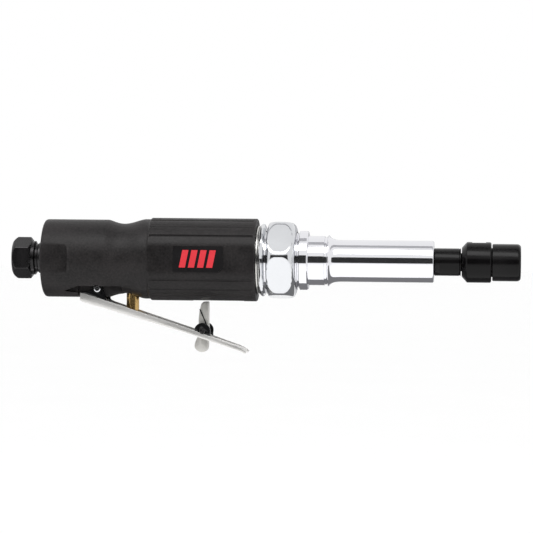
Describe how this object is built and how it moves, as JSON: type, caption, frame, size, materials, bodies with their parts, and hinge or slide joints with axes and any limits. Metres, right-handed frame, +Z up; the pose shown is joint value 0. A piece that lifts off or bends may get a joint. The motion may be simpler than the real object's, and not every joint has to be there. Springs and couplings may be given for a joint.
{
  "type": "die grinder",
  "caption": "air-powered die grinder with a ribbed black grip, lever throttle with lock-off latch, long chromed extension housing and quick-change chuck",
  "frame": {"origin": "on the spindle axis, at the flat floor of the chuck's socket", "axes": "+X along the spindle out of the chuck, +Y across the grip, +Z up, away from the lever"},
  "size_m": [0.2643, 0.0416, 0.0703],
  "materials": {
    "black_coat": "hard black coat with a fine grain",
    "chrome": "polished plating",
    "steel": "satin steel",
    "black_steel": "black oxide",
    "brass": "turned brass",
    "rubber": "nitrile rubber",
    "iron": "machined",
    "fibre": "fibre laminate",
    "black_film": "gloss black",
    "red_film": "red print"
  },
  "bodies": {
    "housing_group": {"housing": "black_coat", "lever_pin": "black_steel", "inlet_bushing": "black_steel", "inlet_seal": "rubber", "inlet_screen": "brass", "valve_bushing": "brass", "rear_end_plate": "iron", "front_end_plate": "iron", "cylinder": "iron", "dowel_pin": "steel", "extension_housing": "chrome", "face_ring": "steel", "jam_nut": "chrome", "clamp_nut": "chrome", "bearing_spacer": "steel", "spindle_seal": "rubber", "emblem_plate": "black_film", "valve_spring": "steel", "emblem_stripe_1": "red_film", "emblem_stripe_2": "red_film", "emblem_stripe_3": "red_film", "emblem_stripe_4": "red_film", "rear_bearing_outer": "chrome", "front_bearing_outer": "chrome", "rear_spindle_bearing_outer": "chrome", "front_spindle_bearing_outer": "chrome"},
    "spindle_group": {"rotor": "steel", "coupling": "steel", "spindle": "black_steel", "chuck_body": "black_steel", "detent_ball": "chrome", "chuck_spring": "steel", "chuck_retainer": "steel", "vane_1": "fibre", "vane_2": "fibre", "vane_3": "fibre", "vane_4": "fibre", "rear_bearing_inner": "chrome", "front_bearing_inner": "chrome", "rear_spindle_bearing_inner": "chrome", "front_spindle_bearing_inner": "chrome", "rear_bearing_balls": "steel", "front_bearing_balls": "steel", "rear_spindle_bearing_balls": "steel", "front_spindle_bearing_balls": "steel"},
    "sleeve_group": {"chuck_sleeve": "black_steel"},
    "lever_group": {"lever": "steel", "latch_pin": "black_steel"},
    "latch_group": {"latch": "steel", "latch_spring": "black_steel"},
    "valve_group": {"valve_stem": "brass", "valve_ball": "chrome"}
  },
  "joints": [
    {"name": "spindle_turn", "type": "hinge", "parent": "housing_group", "child": "spindle_group", "pos_m": [0, 0, 0], "axis": [1, 0, 0], "continuous": true},
    {"name": "sleeve_slide", "type": "slide", "parent": "spindle_group", "child": "sleeve_group", "axis": [1, 0, 0], "range_m": [0, 0.0025], "stiffness_N_per_m": 600, "springref_m": -0.003, "deforming": ["chuck_spring"]},
    {"name": "lever_hinge", "type": "hinge", "parent": "housing_group", "child": "lever_group", "pos_m": [-0.1996, 0, -0.0157], "axis": [0, -1, 0], "range_deg": [0, 12], "stiffness_Nm_per_rad": 5, "springref_deg": -11.46},
    {"name": "latch_hinge", "type": "hinge", "parent": "lever_group", "child": "latch_group", "pos_m": [-0.1446, 0, -0.037], "axis": [0, 1, 0], "range_deg": [0, 91.3], "stiffness_Nm_per_rad": 0.038, "springref_deg": -63.03},
    {"name": "valve_slide", "type": "slide", "parent": "housing_group", "child": "valve_group", "axis": [0, 0, 1], "range_m": [0, 0.0037], "deforming": ["valve_spring"]}
  ],
  "couplings": [
    {"joint": "latch_hinge", "follows": "lever_hinge", "ratio": 7.6},
    {"joint": "valve_slide", "follows": "lever_hinge", "m_per_rad": 0.0176}
  ]
}
